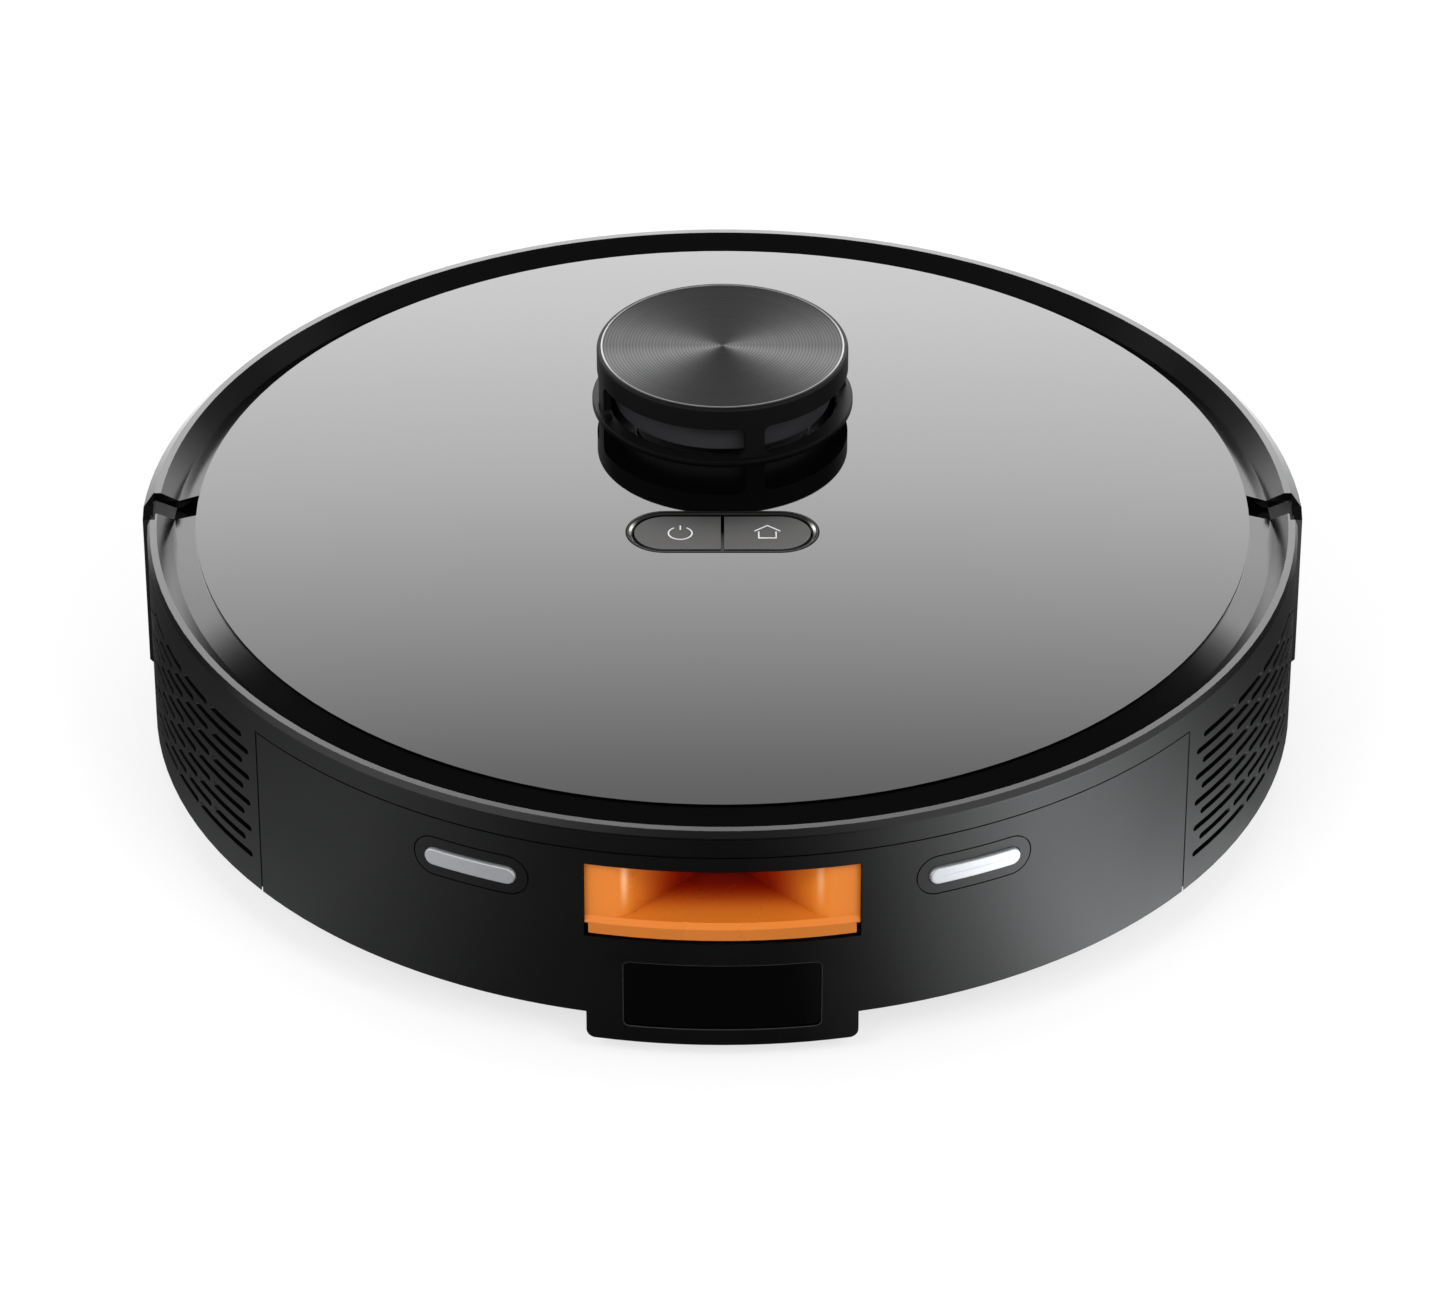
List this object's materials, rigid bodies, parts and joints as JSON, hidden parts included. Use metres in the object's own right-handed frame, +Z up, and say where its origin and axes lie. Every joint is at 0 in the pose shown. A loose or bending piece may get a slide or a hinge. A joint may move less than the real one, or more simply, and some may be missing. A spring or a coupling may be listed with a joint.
{
  "type": "robot vacuum",
  "caption": "Round floor-cleaning robot with a sprung front bumper, a low lidar turret, two keys and a pull-out rear dust module with discharge port.",
  "frame": {"origin": "centre of the bounding box, on the floor", "axes": "+Z up, +Y forwards towards the bumper, +X to the right-hand side seen from the rear"},
  "size_m": [0.351, 0.3489, 0.098],
  "materials": {
    "shell_black": "satin moulded",
    "inner_grey": "matt moulded",
    "panel_mirror": "mirror coated glass",
    "gloss_black": "polished",
    "key_grey": "brushed metallic lacquer",
    "chrome_trim": "polished",
    "brushed_disc": "turned in circles",
    "orange": "glossy moulded",
    "contact_metal": "satin",
    "steel": "plain",
    "rubber_black": "matt",
    "tyre": "matt ribbed",
    "smoked": "smoked",
    "board_green": "solder mask",
    "cells": "shrink sleeve",
    "paper": "pleated",
    "mesh": "woven",
    "bristle": "nylon"
  },
  "bodies": {
    "body": {"lower_chassis": "shell_black", "upper_housing": "shell_black", "top_panel": "panel_mirror", "button_bezel": "chrome_trim", "button_board": "board_green", "turret_ledge": "gloss_black", "turret_cover": "gloss_black", "turret_ring": "chrome_trim", "turret_disc": "brushed_disc", "lidar_base": "inner_grey", "lidar_motor": "steel", "lidar_belt": "rubber_black", "bumper_switches": "inner_grey", "grille_screens": "mesh", "battery": "cells", "battery_cover": "shell_black", "main_board": "board_green", "speaker": "inner_grey", "fan_housing": "inner_grey", "fan_motor": "steel", "brush_housing": "inner_grey", "brush_motor": "inner_grey", "inlet_seal": "rubber_black", "side_brush_motor": "inner_grey", "cliff_windows": "smoked", "wheel_housings": "inner_grey", "caster_socket": "inner_grey"},
    "bumper": {"bumper_shell": "shell_black", "bumper_window": "smoked"},
    "power_key": {"power_button": "key_grey"},
    "home_key": {"home_button": "key_grey"},
    "drum": {"lidar_drum": "inner_grey", "lidar_lenses": "smoked"},
    "belt_wheel": {"lidar_pulley": "inner_grey"},
    "fan_wheel": {"impeller": "inner_grey"},
    "main_brush": {"brush_core": "inner_grey", "brush_blades": "rubber_black"},
    "brush_door": {"brush_cover": "shell_black"},
    "side_brush": {"side_brush_hub": "inner_grey", "side_brush_bristles": "bristle"},
    "swing_left": {"arm_left": "inner_grey", "spring_left": "steel"},
    "swing_right": {"arm_right": "inner_grey", "spring_right": "steel"},
    "wheel_left": {"hub_left": "inner_grey", "tyre_left": "tyre"},
    "wheel_right": {"hub_right": "inner_grey", "tyre_right": "tyre"},
    "caster_swivel": {"caster_fork": "shell_black", "caster_axle": "steel"},
    "caster_roller": {"caster_wheel": "shell_black"},
    "module": {"dust_bin": "shell_black", "bin_lid": "inner_grey", "filter_frame": "inner_grey", "filter_pleats": "paper", "port_funnel": "orange", "dock_contacts": "contact_metal", "ir_window": "smoked"},
    "discharge_flap": {"port_flap": "orange"},
    "suction_flap": {"inlet_flap": "inner_grey"}
  },
  "joints": [
    {"name": "bumper_slide", "type": "slide", "parent": "body", "child": "bumper", "axis": [0, -1, 0], "range_m": [0, 0.005], "stiffness_N_per_m": 500, "springref_m": -0.004},
    {"name": "power_press", "type": "slide", "parent": "body", "child": "power_key", "axis": [0, 0, -1], "range_m": [0, 0.0006], "stiffness_N_per_m": 900, "springref_m": -0.0006},
    {"name": "home_press", "type": "slide", "parent": "body", "child": "home_key", "axis": [0, 0, -1], "range_m": [0, 0.0006], "stiffness_N_per_m": 900, "springref_m": -0.0006},
    {"name": "lidar_spin", "type": "hinge", "parent": "body", "child": "drum", "pos_m": [0, 0.0664, 0.087], "axis": [0, 0, 1], "continuous": true},
    {"name": "lidar_motor_spin", "type": "hinge", "parent": "body", "child": "belt_wheel", "pos_m": [0.052, 0.0664, 0.07], "axis": [0, 0, 1], "continuous": true},
    {"name": "fan_spin", "type": "hinge", "parent": "body", "child": "fan_wheel", "pos_m": [-0.122, -0.072, 0.037], "axis": [0, 0, 1], "continuous": true},
    {"name": "main_brush_spin", "type": "hinge", "parent": "body", "child": "main_brush", "pos_m": [0, 0, 0.0275], "axis": [1, 0, 0], "continuous": true},
    {"name": "brush_cover_swing", "type": "hinge", "parent": "body", "child": "brush_door", "pos_m": [0, -0.033, 0.01], "axis": [-1, 0, 0], "range_deg": [0, 70]},
    {"name": "side_brush_spin", "type": "hinge", "parent": "body", "child": "side_brush", "pos_m": [0.108, 0.103, 0.006], "axis": [0, 0, 1], "continuous": true},
    {"name": "left_arm_swing", "type": "hinge", "parent": "body", "child": "swing_left", "pos_m": [-0.127, 0.042, 0.036], "axis": [1, 0, 0], "range_deg": [0, 20], "stiffness_Nm_per_rad": 0.3, "springref_deg": 45.84},
    {"name": "right_arm_swing", "type": "hinge", "parent": "body", "child": "swing_right", "pos_m": [0.127, 0.042, 0.036], "axis": [1, 0, 0], "range_deg": [0, 20], "stiffness_Nm_per_rad": 0.3, "springref_deg": 45.84},
    {"name": "left_wheel_spin", "type": "hinge", "parent": "swing_left", "child": "wheel_left", "pos_m": [-0.127, 0, 0.034], "axis": [1, 0, 0], "continuous": true},
    {"name": "right_wheel_spin", "type": "hinge", "parent": "swing_right", "child": "wheel_right", "pos_m": [0.127, 0, 0.034], "axis": [1, 0, 0], "continuous": true},
    {"name": "caster_turn", "type": "hinge", "parent": "body", "child": "caster_swivel", "pos_m": [0, 0.13, 0.03], "axis": [0, 0, 1], "continuous": true},
    {"name": "caster_roll", "type": "hinge", "parent": "caster_swivel", "child": "caster_roller", "pos_m": [0, 0.126, 0.014], "axis": [1, 0, 0], "continuous": true},
    {"name": "module_slide", "type": "slide", "parent": "body", "child": "module", "axis": [0, -1, 0], "range_m": [0, 0.12]},
    {"name": "discharge_flap_swing", "type": "hinge", "parent": "module", "child": "discharge_flap", "pos_m": [0, -0.1454, 0.0627], "axis": [-1, 0, 0], "range_deg": [0, 60]},
    {"name": "suction_flap_swing", "type": "hinge", "parent": "module", "child": "suction_flap", "pos_m": [0, -0.0556, 0.059], "axis": [-1, 0, 0], "range_deg": [0, 70]}
  ],
  "couplings": [
    {"joint": "lidar_motor_spin", "follows": "lidar_spin", "ratio": 4}
  ]
}
